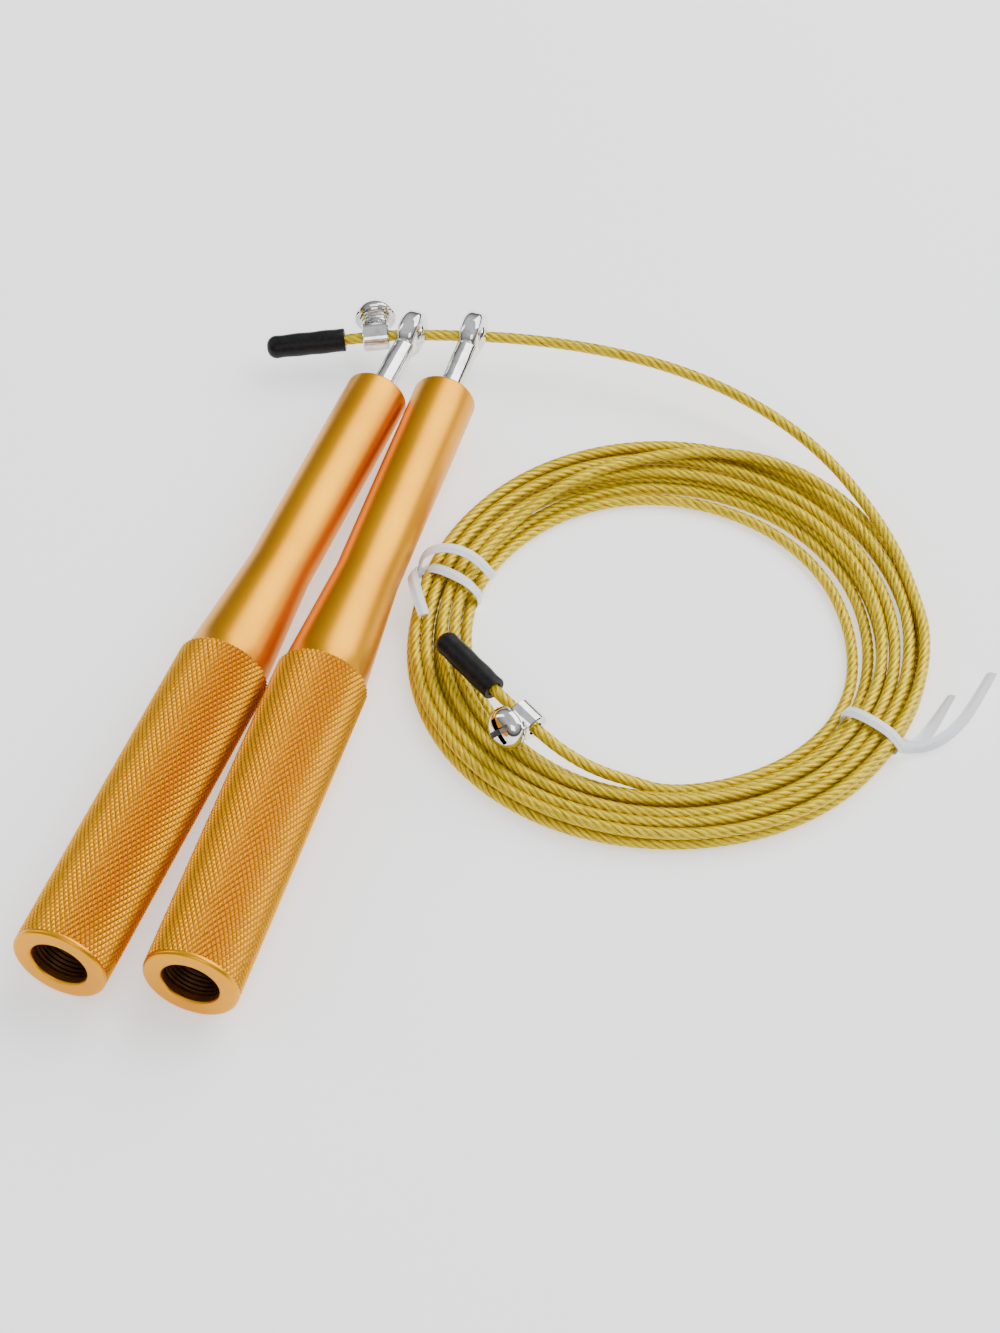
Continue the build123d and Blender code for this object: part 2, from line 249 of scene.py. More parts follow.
def black_rubber(name):
    surface = Surface(name, Roughness=0.45)
    surface.shader.inputs["Specular IOR Level"].default_value = 0.16
    mottle = surface.speckle(surface.place(), 900.0, 5.0, 0.6)
    blacks = [(0.3, (0.0025, 0.0025, 0.0025)), (0.75, (0.010, 0.010, 0.0105))]
    surface.feed("Base Color", surface.ramp(mottle, blacks))
    surface.feed("Roughness", surface.spread(mottle, 0.34, 0.5))
    surface.bump(mottle, 0.35, 0.00006)
    return surface.material


def white_ribbon(name):
    surface = Surface(name, Roughness=0.36)
    surface.shader.inputs["Subsurface Weight"].default_value = 0.15
    surface.shader.inputs["Subsurface Radius"].default_value = (0.0012, 0.0012, 0.0014)
    ribs = surface.speckle(surface.unwrapped(7.0, 0.35), 1.0, 3.0, 0.5)
    surface.feed("Base Color", surface.ramp(ribs, [(0.3, (0.78, 0.79, 0.83)), (0.7, (0.91, 0.91, 0.93))]))
    surface.feed("Roughness", surface.spread(ribs, 0.28, 0.46))
    surface.bump(ribs, 0.3, 0.00008)
    return surface.material


def pale_nylon(name):
    surface = Surface(name, Roughness=0.5)
    mottle = surface.speckle(surface.place(), 1200.0)
    surface.feed("Base Color", surface.ramp(mottle, [(0.3, (0.72, 0.70, 0.62)), (0.7, (0.83, 0.81, 0.74))]))
    surface.bump(mottle, 0.15, 0.00004)
    return surface.material


def pale_floor(name):
    surface = Surface(name, Roughness=0.62, Emission_Color=(1.0, 1.0, 1.0, 1.0), Emission_Strength=0.7)
    mottle = surface.speckle(surface.place(), 3.0)
    whites = [(0.3, (0.93, 0.93, 0.925)), (0.7, (0.95, 0.95, 0.95))]
    surface.feed("Base Color", surface.ramp(mottle, whites))
    surface.bump(surface.speckle(surface.place(), 700.0), 0.02, 0.0002)
    return surface.material


SMOOTH_GOLD = anodised_gold("anodised_turned", knurled=False)
KNURLED_GOLD = anodised_gold("anodised_knurled", knurled=True)
BORE = shaded_bore("shaded_bore")
NICKEL = polished_nickel("polished_nickel")
# The screw's cross recess, painted near black as shade.
RECESS_SHADE = polished_nickel("recess_shade", dark=(0.05, 0.048, 0.046), bright=(0.16, 0.155, 0.15))
STEEL = ground_steel("ground_steel")
WIRE = coated_wire("coated_wire")
RUBBER = black_rubber("black_rubber")
RIBBON = white_ribbon("white_ribbon")
NYLON = pale_nylon("pale_nylon")


# ---------------------------------------------------------------- mesh building
def quad_corners(column, ring):
    return ((column, ring), (column + 1, ring), (column + 1, ring + 1), (column, ring + 1))


class Shell:
    """Vertices, faces, face-corner UVs (millimetres) and tones of one piece."""

    def __init__(self):
        self.vertices = []
        self.faces = []
        self.corners = []
        self.tones = []
        self.slots = []

    def grid(self, rings, u_of, v_of, closed=True, tone=None, slot=0):
        """Quads between rings of points; u_of(column) and v_of(ring) give the UV."""
        first = len(self.vertices)
        columns = len(rings[0])
        for ring, points in enumerate(rings):
            self.vertices.extend(points)
            self.tones.extend(tone(ring, column) if tone else 1.0 for column in range(columns))
        last_column = columns if closed else columns - 1
        for ring in range(len(rings) - 1):
            low = first + ring * columns
            high = low + columns
            for column in range(last_column):
                after = (column + 1) % columns
                self.faces.append((low + column, low + after, high + after, high + column))
                self.corners.extend((u_of(c), v_of(r)) for c, r in quad_corners(column, ring))
                self.slots.append(slot)
        return first

    def cap(self, first, count, flip, slot=0):
        """One flat face over a ring of vertices."""
        ring = list(range(first, first + count))
        self.faces.append(tuple(reversed(ring)) if flip else tuple(ring))
        self.corners.extend((cos(2 * pi * i / count), sin(2 * pi * i / count)) for i in range(count))
        self.slots.append(slot)

    def piece(self, name, materials, sharp=35.0):
        mesh = bpy.data.meshes.new(name)
        mesh.from_pydata(self.vertices, [], self.faces)
        layer = mesh.uv_layers.new(name="UVMap")
        layer.data.foreach_set("uv", [value for corner in self.corners for value in corner])
        tones = mesh.color_attributes.new("tone", "FLOAT_COLOR", "POINT")
        tones.data.foreach_set("color", [value for tone in self.tones for value in (tone, tone, tone, 1.0)])
        for material in materials:
            mesh.materials.append(material)
        mesh.polygons.foreach_set("material_index", self.slots)
        mesh.shade_smooth()
        mesh.set_sharp_from_angle(angle=radians(sharp))
        mesh.validate()
        return add_object(name, mesh)


def smooth_line(name, points, fineness):
    """Points of the order-3 NURBS curve that has the given control points (millimetres)."""
    curve = bpy.data.curves.new(name, "CURVE")
    curve.dimensions = "3D"
    curve.resolution_u = fineness
    spline = curve.splines.new("NURBS")
    spline.points.add(len(points) - 1)
    for control, point in zip(spline.points, points):
        control.co = (*(MM * value for value in point), 1.0)
    spline.order_u = 3
    spline.use_endpoint_u = True
    holder = bpy.data.objects.new(name, curve)
    mesh = bpy.data.meshes.new_from_object(holder)
    line = [vertex.co.copy() for vertex in mesh.vertices]
    bpy.data.objects.remove(holder)
    bpy.data.meshes.remove(mesh)
    bpy.data.curves.remove(curve)
    return line


def evenly(line, step):
    """The same line with points a step apart."""
    spaced = [line[0]]
    need = step
    for start, end in zip(line, line[1:]):
        length = (end - start).length
        while need <= length:
            spaced.append(start.lerp(end, need / length))
            need += step
        need -= length
    spaced.append(line[-1])
    return spaced


def carried_frames(line, first_normal):
    """(point, tangent, normal, binormal) along a line, with no twist of its own."""
    frames = []
    normal = Vector(first_normal)
    for i, point in enumerate(line):
        tangent = (line[min(i + 1, len(line) - 1)] - line[max(i - 1, 0)]).normalized()
        normal = (normal - tangent * normal.dot(tangent)).normalized()
        frames.append((point, tangent, normal, tangent.cross(normal)))
    return frames


# ---------------------------------------------------------------- the cable's route
CABLE_DIAMETER = 2.5
COIL_CENTRE = (72.75, 26.65)
MEAN_TURN = 48.2             # radius of the middle of the bundle
OUTER_TURN = 53.9
STEP_START = 0.66            # part of a turn after which the cable draws in by one strand
SPLINE_SHRINK = 1.0086       # the smooth line runs a little inside its control points
TIE_LIFT = 0.5               # the bundle rides up over the ties
STRAND_PITCH = 3.07          # between neighbouring turns of a layer
LOW_LAYER = 1.27             # height of the centres of the turns that lie on the floor
HIGH_LAYER = 3.75
CROSSING = 6.2               # height where a turn passes over the high layer
POINTS_PER_TURN = 24
FIRST_POLAR = 20.0           # where the free run has become the first turn, degrees
LAST_POLAR = -74.0           # where the last turn becomes the tail
FULL_TURNS = 9
TURNS_BEFORE_LOW = 4         # turns done when the low layer begins
LOW_WIDER = 0.3              # how much wider the low layer starts
OVER_START = 3.62            # turns done when the cable crosses the high layer outwards
OVER_END = 3.93
TIES_AT = (180.0, -11.5)
SQUEEZE_REACH = 24.0         # degrees to each side in which a tie draws the bundle together
LIFT_REACH = 9.0
TOP_GAP_AT = 88.0            # where the bundle parts into an outer and an inner group
TOP_GAP_REACH = 34.0
TOP_GAP_HALF = 0.7
FOOT_AT = -71.0              # where the coil is pressed flat
FOOT_REACH = 42.0
FOOT_DRAWN_IN = 2.5
WANDER = 0.42                # how far a loose turn strays sideways, and upwards
WANDER_UP = 0.16

# From the capped end, level through both swivel balls, and down in one bow to the coil's outside.
RUN_ROUTE = [
    (-34.9, 75.6, 7.1), (-26.6, 79.0, 7.9), (-18.5, 82.3, 8.75), (-9.4, 86.0, 9.6), (9.4, 91.9, 9.6),
    (21.5, 94.7, 9.5), (35.5, 96.8, 9.2), (50.5, 97.3, 8.7), (65.0, 95.4, 8.0), (79.0, 90.8, 7.3),
    (91.5, 83.9, 6.6), (102.3, 74.9, 5.9), (111.9, 64.8, 5.2), (118.7, 54.5, 4.6),
]
# From the coil's inside, up over its edge to the other capped end.
TAIL_ROUTE = [
    (76.6, -11.3, 2.4), (70.0, -12.5, 4.4), (63.2, -12.2, 6.7), (56.3, -9.9, 8.5),
    (49.6, -6.3, 9.4), (43.0, -2.3, 9.6), (36.5, 1.9, 9.65), (31.1, 5.2, 9.6),
]


def ease(low, high, value):
    """0 below low, 1 above high, smooth between."""
    part = min(max((value - low) / (high - low), 0.0), 1.0)
    return part * part * (3 - 2 * part)


def nearness(polar, other, reach):
    """1 at the other polar angle, falling off smoothly within about the reach."""
    gap = abs((polar - other + 180.0) % 360.0 - 180.0)
    return exp(-(gap / reach) ** 2)


def stepped(turns):
    """Turns done, each counted where the cable draws in, between the coil's left and its right."""
    whole = int(turns)
    return whole + ease(STEP_START, 1.0, turns - whole)


def coil_point(turns):
    """Centre of the cable after some turns: an inward spiral on the high layer, a crossing over it
    to the outside, and an inward spiral on the floor. The ties squeeze the bundle; it fans out
    between them."""
    polar = FIRST_POLAR - 360.0 * turns
    high_radius = OUTER_TURN - STRAND_PITCH * stepped(turns)
    low_radius = OUTER_TURN + LOW_WIDER - STRAND_PITCH * (stepped(turns) - TURNS_BEFORE_LOW)
    over = ease(OVER_START, OVER_END, turns)
    radius = high_radius + (low_radius - high_radius) * over
    lift = 4.0 * (turns - OVER_START) * (OVER_END - turns) / (OVER_END - OVER_START) ** 2
    height = HIGH_LAYER + (LOW_LAYER - HIGH_LAYER) * ease(0.75, 1.0, over)
    if lift > 0:
        height += (CROSSING - HIGH_LAYER) * min(1.0, 2.2 * lift)
    squeeze = 0.0
    for tie in TIES_AT:
        squeeze += nearness(polar, tie, SQUEEZE_REACH)
        height += TIE_LIFT * nearness(polar, tie, LIFT_REACH)
    from_mean = radius - MEAN_TURN
    outward = min(max((from_mean + 12.0) / 18.0, 0.0), 1.0)
    radius = MEAN_TURN + from_mean * (1.02 - 0.16 * squeeze)
    radius += TOP_GAP_HALF * nearness(polar, TOP_GAP_AT, TOP_GAP_REACH) * tanh((from_mean - 0.8) / 1.2)
    radius -= FOOT_DRAWN_IN * nearness(polar, FOOT_AT, FOOT_REACH) * outward
    loose = 1.0 - 0.8 * min(1.0, squeeze)
    radius += WANDER * loose * sin(2.4 * 2 * pi * turns / 1.7 + 0.8)
    if height > CABLE_DIAMETER:
        height += WANDER_UP * loose * sin(2 * pi * turns * 1.37)
    radius *= SPLINE_SHRINK
    angle = radians(polar)
    return (COIL_CENTRE[0] + radius * cos(angle), COIL_CENTRE[1] + radius * sin(angle), height)


coil_turns = FULL_TURNS + (FIRST_POLAR - LAST_POLAR) / 360.0
coil_count = int(coil_turns * POINTS_PER_TURN) + 1
turn_points = [coil_point(coil_turns * i / (coil_count - 1)) for i in range(coil_count)]
cable_line = smooth_line("cable_line", RUN_ROUTE + turn_points + TAIL_ROUTE, 14)

# ---------------------------------------------------------------- the cable
CABLE_RADIUS = CABLE_DIAMETER / 2
STRANDS = 6
LAY = 12.6                   # length in which a strand goes once round
GROOVE = 0.15                # depth of the grooves, as a part of the radius
CABLE_COLUMNS = 24
CABLE_STEP = 0.62


def laid_cable(name, line):
    shell = Shell()
    frames = carried_frames(evenly(line, CABLE_STEP * MM), UP)
    turn_step = 2 * pi * CABLE_STEP / LAY
    ridge = [sqrt(abs(cos(STRANDS / 2 * 2 * pi * c / CABLE_COLUMNS))) for c in range(CABLE_COLUMNS)]
    rings = []
    for i, (point, _, normal, side) in enumerate(frames):
        ring = []
        for column in range(CABLE_COLUMNS):
            angle = 2 * pi * column / CABLE_COLUMNS + turn_step * i
            radius = MM * CABLE_RADIUS * (1 - GROOVE * (1 - ridge[column]))
            ring.append(point + (normal * cos(angle) + side * sin(angle)) * radius)
        rings.append(ring)
    # The ridge tone lets the wire material paint the valleys between strands dark as shade and the crowns
    # light as highlight.
    first = shell.grid(
        rings, lambda c: c / CABLE_COLUMNS, lambda r: r * CABLE_STEP, tone=lambda r, c: ridge[c])
    shell.cap(first, CABLE_COLUMNS, flip=True)
    shell.cap(first + (len(rings) - 1) * CABLE_COLUMNS, CABLE_COLUMNS, flip=False)
    return shell.piece(name, [WIRE], sharp=80.0)


cable = laid_cable("laid_cable", cable_line)
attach(cable, "cable")
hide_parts("cable_run", "cable_coil", "cable_tail")


# ---------------------------------------------------------------- turned pieces
class Lathe:
    """A turning axis: points are given by radius, angle and station along it, in millimetres."""

    def __init__(self, start, along, level=UP):
        self.start = Vector(start)
        self.along = Vector(along).normalized()
        self.side = self.along.cross(level).normalized()
        self.top = self.side.cross(self.along)

    def at(self, radius, angle, station):
        out = self.side * cos(angle) + self.top * sin(angle)
        return self.start + (self.along * station + out * radius) * MM

    def turn(self, shell, profile, columns, slot=0):
        """Add a turned surface from (radius, station) points, listed so that it faces outwards."""
        travel = [0.0]
        for (r0, s0), (r1, s1) in zip(profile, profile[1:]):
            travel.append(travel[-1] + sqrt((r1 - r0) ** 2 + (s1 - s0) ** 2))
        widest = max(radius for radius, _ in profile)
        rings = [[self.at(r, 2 * pi * c / columns, s) for c in range(columns)] for r, s in profile]
        return shell.grid(
            rings, lambda c: 2 * pi * widest * c / columns, lambda r: travel[r], slot=slot)


ON_AXIS = 0.02               # radius of the small flat that ends a profile at the axis


def arc(centre_radius, centre_station, radius, start, end, steps):
    """(radius, station) points of an arc; 0 degrees points outwards and 90 along the axis."""
    points = []
    for i in range(steps + 1):
        angle = radians(start + (end - start) * i / steps)
        points.append((centre_radius + radius * cos(angle), centre_station + radius * sin(angle)))
    return points


def joint_named(name):
    return next(joint for joint in frame["joints"] if joint["name"] == name)


def eye_and_axis(side):
    spin = joint_named(f"handle_{side}_spin")
    return Vector(spin["pos_m"]), Vector(spin["axis"]).normalized()


# ---------------------------------------------------------------- handles
EYE_STATION = 183.0
GRIP_RADIUS = 10.0
GRIP_END = 79.0
KNURL_START = 1.1
KNURLS_ROUND = 56
KNURL_HELIX = 30.0           # degrees between a row of knurls and the axis
KNURL_DEPTH = 0.36
CONE_START_RADIUS = 9.1
CONE_END = 108.0
NECK_RADIUS = 7.0
BODY_LENGTH = 163.0
BORE_RADIUS = 6.0
BORE_DEPTH = 60.0
INNER_BORE_RADIUS = 5.7
REAR_BEARING = 127.0
FRONT_BEARING = 158.5
BEARING_WIDTH = 4.0
BEARING_SEAT = 5.01
WEB_BORE_RADIUS = 3.6
THREAD_PITCH = 1.0
THREAD_DEPTH = 0.3
THREAD_START = 2.0
THREAD_END = 40.0
SMOOTH = 0
KNURLED = 1
INSIDE = 2


def add_knurl(shell, lathe):
    """Diamond knurl: odd lattice points are peaks, even ones are where two grooves cross."""
    columns = 2 * KNURLS_ROUND
    across = 2 * pi * GRIP_RADIUS / columns
    along = across / sin(radians(KNURL_HELIX)) * cos(radians(KNURL_HELIX))
    rows = round((GRIP_END - KNURL_START) / along)
    step = (GRIP_END - KNURL_START) / rows
    first = len(shell.vertices)
    for row in range(rows + 1):
        for column in range(columns):
            peak = (row + column) % 2
            chip = 0.05 * noise.noise(Vector((0.9 * row, 0.7 * column, 2.0)))
            radius = GRIP_RADIUS - 0.03 - (0.0 if peak else KNURL_DEPTH) + chip
            shell.vertices.append(lathe.at(radius, 2 * pi * column / columns, KNURL_START + row * step))
            # Grooves get a low tone, which the knurled material paints dark as shade; peak tones vary a
            # little.
            shell.tones.append((0.86 + 2.0 * chip) if peak else 0.08)

    def index(row, column):
        return first + row * columns + column % columns

    for row in range(rows + 1):
        for column in range(columns):
            if (row + column) % 2 == 0:
                continue
            around = [(row, column - 1), (row - 1, column), (row, column + 1), (row + 1, column)]
            for one, two in zip(around, around[1:] + around[:1]):
                if 0 <= one[0] <= rows and 0 <= two[0] <= rows:
                    shell.faces.append((index(row, column), index(*one), index(*two)))
                    shell.corners.extend(
                        (across * c, step * r) for r, c in ((row, column), one, two))
                    shell.slots.append(KNURLED)


def add_bore_thread(shell, lathe, columns=64, parts=4):
    """Helical thread in the bore: a grid whose rings advance by one pitch in each turn."""
    shape = [0.0, 0.55, 1.0, 0.55]
    rings = []
    count = round((THREAD_END - THREAD_START) / THREAD_PITCH * parts)
    for ring in range(count + parts + 1):
        points = []
        for column in range(columns):
            station = THREAD_START + (ring - parts + parts * column / columns) * THREAD_PITCH / parts
            held = min(max(station, THREAD_START), THREAD_END)
            fade = ease(THREAD_START, THREAD_START + 1, held) * ease(THREAD_END, THREAD_END - 3, held)
            radius = BORE_RADIUS - THREAD_DEPTH * fade * shape[ring % parts]
            points.append(lathe.at(radius, -2 * pi * column / columns, held))
        rings.append(points)
    first = len(shell.vertices)
    for ring in rings:
        shell.vertices.extend(ring)
        shell.tones.extend([1.0] * columns)
    for ring in range(len(rings) - 1):
        for column in range(columns):
            after = column + 1
            rise = 0
            if after == columns:
                after = 0
                rise = parts
            if ring + 1 + rise >= len(rings):
                continue
            low = first + ring * columns
            face = (low + column, low + rise * columns + after,
                    low + (rise + 1) * columns + after, low + columns + column)
            shell.faces.append(face)
            shell.corners.extend((0.6 * c, 0.25 * r) for c, r in quad_corners(column, ring))
            shell.slots.append(INSIDE)


def handle_body(name, lathe):
    shell = Shell()
    end_face = [
        (BORE_RADIUS, THREAD_START), (BORE_RADIUS, 0.5),
        (BORE_RADIUS + 0.16, 0.18), (BORE_RADIUS + 0.5, 0.0),
    ] + [(BORE_RADIUS + 0.5 + 0.75 * i, 0.0) for i in range(1, 4)]
    end_face += arc(GRIP_RADIUS - 0.85, 0.75, 0.75, -90, 0, 6)
    end_face += [(GRIP_RADIUS - 0.12, KNURL_START), (GRIP_RADIUS - 0.5, KNURL_START + 0.15)]
    lathe.turn(shell, end_face, 96, SMOOTH)
    add_knurl(shell, lathe)
    neck_edge = arc(NECK_RADIUS - 0.9, BODY_LENGTH - 0.9, 0.9, 0, 90, 6)
    outside = [
        (GRIP_RADIUS - 0.5, GRIP_END - 0.4), (GRIP_RADIUS - 0.35, GRIP_END),
        (CONE_START_RADIUS + 0.12, GRIP_END + 0.02),
        (CONE_START_RADIUS, GRIP_END + 0.3),
    ]
    outside += [(CONE_START_RADIUS + (NECK_RADIUS - CONE_START_RADIUS) * i / 8,
                 GRIP_END + 0.3 + (CONE_END - GRIP_END - 0.3) * i / 8) for i in range(1, 9)]
    outside += [(NECK_RADIUS, CONE_END + (BODY_LENGTH - 0.9 - CONE_END) * i / 10) for i in range(1, 10)]
    outside += neck_edge + [(BEARING_SEAT + 0.25, BODY_LENGTH), (BEARING_SEAT, BODY_LENGTH - 0.25)]
    lathe.turn(shell, outside, 96, SMOOTH)
    rear_seat_end = REAR_BEARING + BEARING_WIDTH
    inside = [
        (BEARING_SEAT, BODY_LENGTH - 0.25), (BEARING_SEAT, FRONT_BEARING), (WEB_BORE_RADIUS, FRONT_BEARING),
        (WEB_BORE_RADIUS, rear_seat_end), (BEARING_SEAT, rear_seat_end), (BEARING_SEAT, REAR_BEARING),
        (INNER_BORE_RADIUS, REAR_BEARING), (INNER_BORE_RADIUS, BORE_DEPTH),
        (BORE_RADIUS, BORE_DEPTH), (BORE_RADIUS, THREAD_END),
    ]
    lathe.turn(shell, inside, 96, INSIDE)
    add_bore_thread(shell, lathe)
    return shell.piece(name, [SMOOTH_GOLD, KNURLED_GOLD, BORE], sharp=24.0)


for side in "ab":
    eye, along = eye_and_axis(side)
    lathe = Lathe(eye - along * EYE_STATION * MM, along)
    body = handle_body(f"knurled_handle_{side}", lathe)
    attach(body, f"handle_{side}")
    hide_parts(f"handle_body_{side}")


# ---------------------------------------------------------------- clamp screws
SCREW_RADIUS = 1.95
SCREW_PITCH = 0.7
SHOULDER_START = 3.45
FLANGE_START = 5.4
FLANGE_END = 6.2
FLANGE_RADIUS = 4.6
HEAD_RADIUS = 4.42
HEAD_TOP = 8.8
RECESS_DEPTH = 1.9
CAP_RADIUS = 2.6
CAP_BORE = 1.35
CAP_LENGTH = 17.6
CAP_END_WALL = 1.6


def screw_profile():
    """Threaded shank, ribbed shoulder, flange and domed head, from the tip outwards."""
    profile = [(ON_AXIS, 1.3), (SCREW_RADIUS - 0.5, 1.3)]
    station = 1.5
    while station < SHOULDER_START - SCREW_PITCH:
        profile += [(SCREW_RADIUS - 0.36, station), (SCREW_RADIUS, station + SCREW_PITCH / 2)]
        station += SCREW_PITCH
    profile += [(SCREW_RADIUS - 0.3, SHOULDER_START)]
    for rib in range(3):
        low = SHOULDER_START + 0.62 * rib
        radius = 2.75 + 0.42 * rib
        profile += [(radius - 0.28, low), (radius, low + 0.16)]
        profile += [(radius, low + 0.42), (radius - 0.28, low + 0.58)]
    profile += [(FLANGE_RADIUS - 0.25, FLANGE_START), (FLANGE_RADIUS, FLANGE_START + 0.22)]
    profile += [(FLANGE_RADIUS, FLANGE_END - 0.22), (FLANGE_RADIUS - 0.22, FLANGE_END)]
    profile += [(HEAD_RADIUS, FLANGE_END + 0.02)]
    for i in range(1, 12):
        angle = radians(90.0 * i / 12)
        rise = (HEAD_TOP - FLANGE_END) * sin(angle)
        profile.append((HEAD_RADIUS * cos(angle) ** 0.72, FLANGE_END + rise))
    profile.append((ON_AXIS, HEAD_TOP))
    return profile


def cross_recess(name, lathe, spin):
    """Cutter: a tapered cross."""
    cross = bmesh.new()
    levels = []
    for depth, reach, half in ((-RECESS_DEPTH, 1.7, 0.46), (0.6, 3.7, 0.72)):
        level = []
        for quarter in range(4):
            turn = spin + pi / 2 * quarter
            for out, across in ((reach, -half), (reach, half), (half, half)):
                x = out * cos(turn) - across * sin(turn)
                y = out * sin(turn) + across * cos(turn)
                level.append(cross.verts.new(
                    lathe.start + (lathe.along * (HEAD_TOP + depth) + lathe.side * x + lathe.top * y) * MM))
        levels.append(level)
    low, high = levels
    cross.faces.new(reversed(low))
    cross.faces.new(high)
    for i in range(12):
        j = (i + 1) % 12
        cross.faces.new((low[i], low[j], high[j], high[i]))
    bmesh.ops.recalc_face_normals(cross, faces=cross.faces)
    mesh = bpy.data.meshes.new(name)
    cross.to_mesh(mesh)
    cross.free()
    # The cutter's material passes to the faces it cuts, so the recess is painted dark as shade.
    mesh.materials.append(RECESS_SHADE)
    return add_object(name, mesh)


def settle(target, modifier_type, **settings):
    """Run one modifier on a piece and keep its result as the mesh."""
    modifier = target.modifiers.new("step", modifier_type)
    for setting, value in settings.items():
        setattr(modifier, setting, value)
    evaluated = target.evaluated_get(bpy.context.evaluated_depsgraph_get())
    mesh = bpy.data.meshes.new_from_object(evaluated)
    target.modifiers.clear()
    target.data = mesh


def combine(target, other, operation):
    """Boolean with another closed piece, which is deleted."""
    settle(target, "BOOLEAN", operation=operation, solver="EXACT", material_mode="TRANSFER", object=other)
    bpy.data.objects.remove(other)


def clamp_screw(name, lathe, spin):
    shell = Shell()
    profile = screw_profile()
    first = lathe.turn(shell, profile, 64)
    shell.cap(first, 64, flip=True)
    shell.cap(first + (len(profile) - 1) * 64, 64, flip=False)
    screw = shell.piece(name, [NICKEL], sharp=32.0)
    combine(screw, cross_recess(name + "_recess", lathe, spin), "DIFFERENCE")
    screw.data.set_sharp_from_angle(angle=radians(32))
    return screw


def end_cap(name, lathe):
    """Soft tube with a rounded tip, a little wavy along its length."""
    shell = Shell()
    profile = [(ON_AXIS, 0.0)] + arc(CAP_RADIUS - 2.15, 2.15, 2.15, -84, 0, 9)
    for i in range(1, 13):
        station = 2.15 + (CAP_LENGTH - 0.25 - 2.15) * i / 12
        dent = 0.08 * exp(-((station - 3.6) / 0.9) ** 2)
        profile.append((CAP_RADIUS + 0.05 * sin(1.1 * station) - dent, station))
    profile += [
        (CAP_RADIUS - 0.12, CAP_LENGTH), (CAP_BORE + 0.2, CAP_LENGTH), (CAP_BORE, CAP_LENGTH - 0.25),
        (CAP_BORE, CAP_END_WALL), (ON_AXIS, CAP_END_WALL),
    ]
    columns = 40
    first = lathe.turn(shell, profile, columns)
    for i in range(first, len(shell.vertices)):
        point = shell.vertices[i]
        wave = noise.noise(point * 260.0)
        away = point - lathe.start
        away -= lathe.along * away.dot(lathe.along)
        shell.vertices[i] = point + away * 0.018 * wave
    return shell.piece(name, [RUBBER], sharp=50.0)


SCREW_SPIN = {"a": 0.35, "b": 0.62}
for side in "ab":
    turn = joint_named(f"screw_{side}_turn")
    screw_lathe = Lathe(turn["pos_m"], turn["axis"], Vector((0.12, 0.34, 0.93)))
    screw = clamp_screw(f"cross_head_screw_{side}", screw_lathe, SCREW_SPIN[side])
    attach(screw, f"screw_{side}")
    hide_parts(f"clamp_screw_{side}")

# ---------------------------------------------------------------- forged eyes
SHAFT_START = 120.4
SHAFT_RADIUS = 2.48
SHOULDER_STATION = 162.5
SHOULDER_RADIUS = 3.2
SHOULDER_LENGTH = 1.0
ROD_RADIUS = 2.6
RING_RADIUS = 5.25
RING_HALF = 2.3              # half of the ring's thickness
RING_ROUND = 1.55            # rounding of its outer rim
RING_BORE = 3.2
SOCKET_RADIUS = 3.55
FORGING_VOXEL = 0.17


def closed_turn(name, lathe, profile, columns):
    shell = Shell()
    first = lathe.turn(shell, profile, columns)
    shell.cap(first, columns, flip=True)
    shell.cap(first + (len(profile) - 1) * columns, columns, flip=False)
    return shell.piece(name, [NICKEL])


def forged_eye(name, handle):
    """Ring and rod forged in one, on the shaft that runs in the bearings."""
    eye = handle.at(0, 0, EYE_STATION)
    ring = Lathe(eye, handle.side, handle.along)
    flat = RING_RADIUS - RING_ROUND
    rim = [(ON_AXIS, -RING_HALF)] + arc(flat, RING_ROUND - RING_HALF, RING_ROUND, -90, 0, 10)
    rim += arc(flat, RING_HALF - RING_ROUND, RING_ROUND, 0, 90, 10) + [(ON_AXIS, RING_HALF)]
    forging = closed_turn(name, ring, rim, 96)
    rod_start = SHOULDER_STATION + SHOULDER_LENGTH
    rod = [(ON_AXIS, rod_start), (ROD_RADIUS, rod_start), (ROD_RADIUS, EYE_STATION - 8.5)]
    rod += [(ROD_RADIUS - 0.1, EYE_STATION - 6.0), (ROD_RADIUS - 0.2, EYE_STATION - 3.0)]
    rod.append((ON_AXIS, EYE_STATION - 3.0))
    combine(forging, closed_turn(name + "_rod", handle, rod, 64), "UNION")
    settle(forging, "REMESH", mode="VOXEL", voxel_size=FORGING_VOXEL * MM, use_smooth_shade=True)
    settle(forging, "SMOOTH", factor=0.5, iterations=14)
    corner = sqrt(SOCKET_RADIUS ** 2 - RING_BORE ** 2)
    mouth = RING_BORE + 0.3
    bore = [(ON_AXIS, -4.0), (mouth, -4.0), (mouth, -RING_HALF), (RING_BORE, 0.3 - RING_HALF)]
    for i in range(13):
        station = corner * (i / 6 - 1)
        bore.append((sqrt(SOCKET_RADIUS ** 2 - station ** 2), station))
    bore += [(RING_BORE, RING_HALF - 0.3), (mouth, RING_HALF), (mouth, 4.0), (ON_AXIS, 4.0)]
    combine(forging, closed_turn(name + "_bore", ring, bore, 96), "DIFFERENCE")
    shaft = [(ON_AXIS, SHAFT_START), (SHAFT_RADIUS - 0.3, SHAFT_START), (SHAFT_RADIUS, SHAFT_START + 0.3)]
    shaft += [(SHAFT_RADIUS, SHOULDER_STATION), (SHOULDER_RADIUS - 0.15, SHOULDER_STATION)]
    shaft += [(SHOULDER_RADIUS, SHOULDER_STATION + 0.15), (SHOULDER_RADIUS, rod_start - 0.25)]
    shaft += [(SHOULDER_RADIUS - 0.25, rod_start), (ROD_RADIUS - 0.3, rod_start)]
    shaft += [(ROD_RADIUS - 0.3, rod_start + 0.8), (ON_AXIS, rod_start + 0.8)]
    combine(forging, closed_turn(name + "_shaft", handle, shaft, 64), "UNION")
    forging.data.set_sharp_from_angle(angle=radians(38))
    return forging


